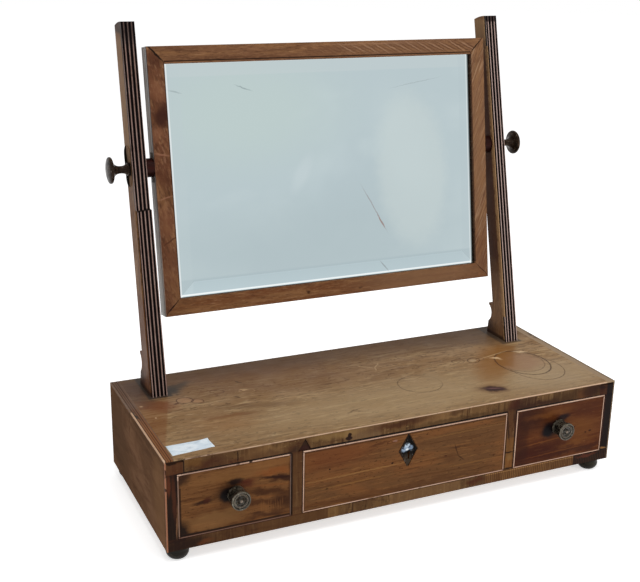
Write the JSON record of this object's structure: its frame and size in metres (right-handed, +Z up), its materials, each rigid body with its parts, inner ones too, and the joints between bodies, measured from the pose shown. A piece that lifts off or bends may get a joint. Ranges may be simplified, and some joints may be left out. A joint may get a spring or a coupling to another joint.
{
  "type": "box-base toilet mirror",
  "caption": "Rectangular mirror swinging between raked reeded uprights on a low rectangular box with a row of drawers, bun feet and a lozenge keyhole plate.",
  "frame": {"origin": "on the resting surface under the feet, at the middle of the rectangle that the whole object covers", "axes": "+X along the box towards the drawer with the higher knob, +Y from the drawer fronts to the back, +Z up"},
  "size_m": [0.56, 0.2962, 0.5271],
  "materials": {
    "pine_carcase": "planed softwood, darkened with age",
    "mahogany_top": "faded French-polished veneer",
    "mahogany_crossbanding": "polished crossbanded veneer",
    "mahogany_ends": "polished veneer, dulled",
    "boxwood_stringing": "scraped flush and polished",
    "ebonised_feet": "turned and stained black",
    "mahogany_drawer_fronts": "French-polished figured veneer",
    "oak_drawer_linings": "bare planed oak",
    "patinated_brass": "turned, grey-green patina",
    "worn_escutcheon": "inlaid plate, worn and tarnished",
    "iron_lock": "oiled iron",
    "brass_bolt": "filed brass",
    "mahogany_uprights": "polished, uneven colour",
    "ebonised_reeding": "polished reeds over black quirks",
    "blackened_pivot_metal": "turned and nearly black with age",
    "rosewood_collars": "turned and polished",
    "mahogany_frame": "polished straight-grained moulding",
    "silvered_glass": "bevelled plate, silvered behind, lightly worn",
    "pine_backboard": "rough sawn and planed softwood",
    "iron_pins": "cut iron, rusted",
    "tapped_brass": "filed brass"
  },
  "bodies": {
    "stand": {"back_board": "pine_carcase", "bottom_board": "pine_carcase", "bottom_rail_facing": "mahogany_crossbanding", "case_stringing": "boxwood_stringing", "corner_facings": "mahogany_crossbanding", "drawer_guides": "pine_carcase", "drawer_kickers": "pine_carcase", "drawer_stops": "pine_carcase", "end_veneers": "mahogany_ends", "feet": "ebonised_feet", "front_top_rail": "pine_carcase", "left_end": "pine_carcase", "left_reeding_lower": "ebonised_reeding", "left_reeding_upper": "ebonised_reeding", "left_upright": "mahogany_uprights", "muntin_facings": "mahogany_crossbanding", "muntins": "pine_carcase", "partitions": "pine_carcase", "pivot_collars": "rosewood_collars", "pivot_plates": "blackened_pivot_metal", "right_end": "pine_carcase", "right_reeding": "ebonised_reeding", "right_upright": "mahogany_uprights", "stile_facings": "mahogany_crossbanding", "top_banding": "mahogany_crossbanding", "top_board": "pine_carcase", "top_rail_facing": "mahogany_crossbanding", "top_veneer": "mahogany_top"},
    "left_drawer": {"left_drawer_back": "oak_drawer_linings", "left_drawer_bottom": "oak_drawer_linings", "left_drawer_front": "mahogany_drawer_fronts", "left_drawer_knob": "patinated_brass", "left_drawer_sides": "oak_drawer_linings", "left_drawer_stringing": "boxwood_stringing"},
    "centre_drawer": {"centre_drawer_back": "oak_drawer_linings", "centre_drawer_bottom": "oak_drawer_linings", "centre_drawer_front": "mahogany_drawer_fronts", "centre_drawer_sides": "oak_drawer_linings", "centre_drawer_stringing": "boxwood_stringing", "escutcheon": "worn_escutcheon", "lock_case": "iron_lock", "lock_screws": "iron_lock"},
    "right_drawer": {"right_drawer_back": "oak_drawer_linings", "right_drawer_bottom": "oak_drawer_linings", "right_drawer_front": "mahogany_drawer_fronts", "right_drawer_knob": "patinated_brass", "right_drawer_sides": "oak_drawer_linings", "right_drawer_stringing": "boxwood_stringing"},
    "lock_bolt": {"lock_bolt": "brass_bolt"},
    "mirror": {"frame_top_rail": "mahogany_frame", "frame_bottom_rail": "mahogany_frame", "frame_left_stile": "mahogany_frame", "frame_right_stile": "mahogany_frame", "mirror_glass": "silvered_glass", "glazing_slips": "pine_backboard", "mirror_backboard": "pine_backboard", "backboard_pins": "iron_pins", "nut_plates": "tapped_brass"},
    "left_pivot_screw": {"left_pivot_screw": "blackened_pivot_metal"},
    "right_pivot_screw": {"right_pivot_screw": "blackened_pivot_metal"}
  },
  "joints": [
    {"name": "left_drawer_slide", "type": "slide", "parent": "stand", "child": "left_drawer", "axis": [0, -1, 0], "range_m": [0, 0.15]},
    {"name": "centre_drawer_slide", "type": "slide", "parent": "stand", "child": "centre_drawer", "axis": [0, -1, 0], "range_m": [0, 0.15]},
    {"name": "right_drawer_slide", "type": "slide", "parent": "stand", "child": "right_drawer", "axis": [0, -1, 0], "range_m": [0, 0.15]},
    {"name": "lock_bolt_slide", "type": "slide", "parent": "centre_drawer", "child": "lock_bolt", "axis": [0, 0, 1], "range_m": [0, 0.005]},
    {"name": "mirror_swing", "type": "hinge", "parent": "stand", "child": "mirror", "pos_m": [0, 0.09935, 0.3675], "axis": [1, 0, 0], "continuous": true},
    {"name": "left_screw_turn", "type": "hinge", "parent": "mirror", "child": "left_pivot_screw", "pos_m": [-0.23, 0.09935, 0.3675], "axis": [-1, 0, 0], "range_deg": [0, 360]},
    {"name": "right_screw_turn", "type": "hinge", "parent": "mirror", "child": "right_pivot_screw", "pos_m": [0.23, 0.09935, 0.3675], "axis": [1, 0, 0], "range_deg": [0, 360]}
  ]
}
